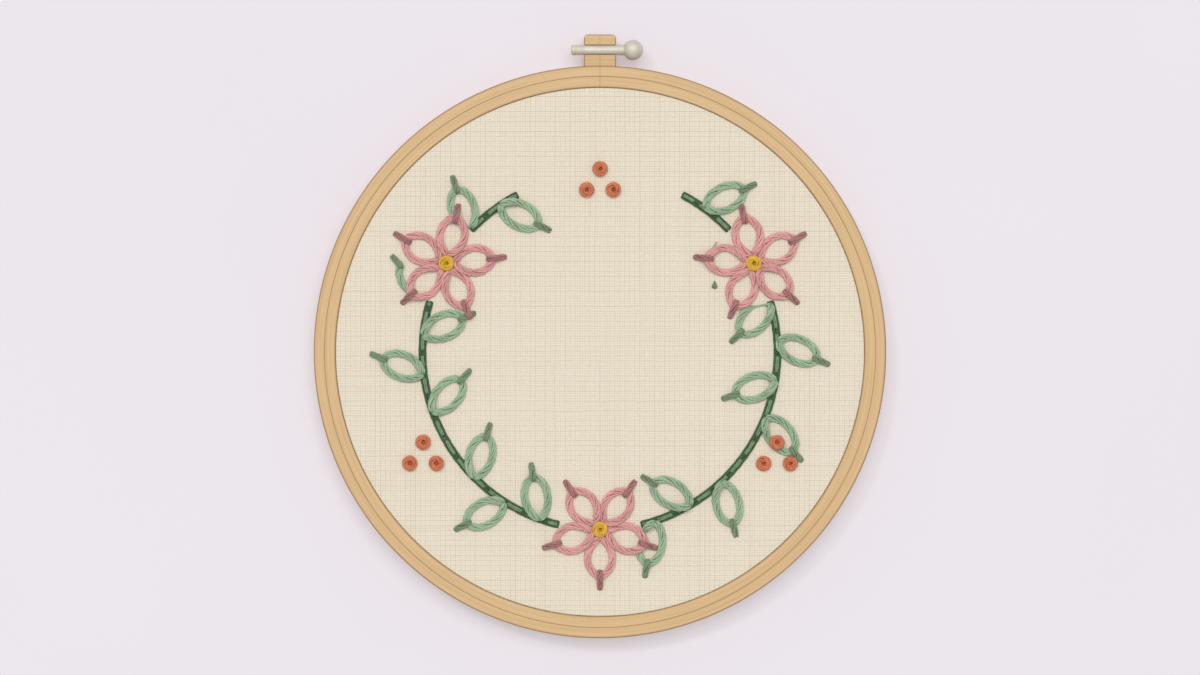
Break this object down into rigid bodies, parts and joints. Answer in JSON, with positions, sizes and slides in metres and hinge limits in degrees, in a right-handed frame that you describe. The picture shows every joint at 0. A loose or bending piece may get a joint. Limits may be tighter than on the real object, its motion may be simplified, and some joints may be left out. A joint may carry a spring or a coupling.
{
  "type": "floral hoop embroidery in a wooden hoop",
  "caption": "Round linen panel stretched in a wooden embroidery hoop with a tightening screw, worked with a wreath of chain-stitch leaves, flowers and knots in thick cotton.",
  "frame": {"origin": "under the middle of the whole piece, hoop and lugs together, at the backs of the hoops; the hoop's own centre is at y = -0.0043", "axes": "+Z out of the embroidered face, +Y from the hoop's centre towards the lugs and screw, +X to the right seen from the front"},
  "size_m": [0.156, 0.1646, 0.0108],
  "materials": {
    "wood": "sanded pale beech, unvarnished",
    "metal": "satin nickel plate",
    "linen": "natural plain-weave linen",
    "stem_thread": "dark green stranded cotton, lighter running stitches over it",
    "leaf_thread": "sage green stranded cotton",
    "petal_thread": "dusty pink stranded cotton",
    "centre_thread": "golden stranded cotton",
    "berry_thread": "rust red stranded cotton"
  },
  "bodies": {
    "root": {"berry_1_1": "berry_thread", "berry_1_2": "berry_thread", "berry_1_3": "berry_thread", "berry_2_1": "berry_thread", "berry_2_2": "berry_thread", "berry_2_3": "berry_thread", "berry_3_1": "berry_thread", "berry_3_2": "berry_thread", "berry_3_3": "berry_thread", "centre_1": "centre_thread", "centre_2": "centre_thread", "centre_3": "centre_thread", "cloth": "linen", "inner_hoop": "wood", "leaf_00": "leaf_thread", "leaf_01": "leaf_thread", "leaf_03": "leaf_thread", "leaf_04": "leaf_thread", "leaf_05": "leaf_thread", "leaf_06": "leaf_thread", "leaf_08": "leaf_thread", "leaf_09": "leaf_thread", "leaf_10": "leaf_thread", "leaf_13": "leaf_thread", "leaf_14": "leaf_thread", "leaf_15": "leaf_thread", "leaf_17": "leaf_thread", "leaf_18": "leaf_thread", "leaf_19": "leaf_thread", "leaf_20": "leaf_thread", "leaf_23": "leaf_thread", "outer_hoop": "wood", "petal_1_1": "petal_thread", "petal_1_2": "petal_thread", "petal_1_3": "petal_thread", "petal_1_4": "petal_thread", "petal_1_5": "petal_thread", "petal_2_1": "petal_thread", "petal_2_2": "petal_thread", "petal_2_3": "petal_thread", "petal_2_4": "petal_thread", "petal_2_5": "petal_thread", "petal_3_1": "petal_thread", "petal_3_2": "petal_thread", "petal_3_3": "petal_thread", "petal_3_4": "petal_thread", "petal_3_5": "petal_thread", "screw": "metal", "stem_1": "stem_thread", "stem_2": "stem_thread", "stem_3": "stem_thread", "stem_4": "stem_thread"}
  },
  "joints": []
}
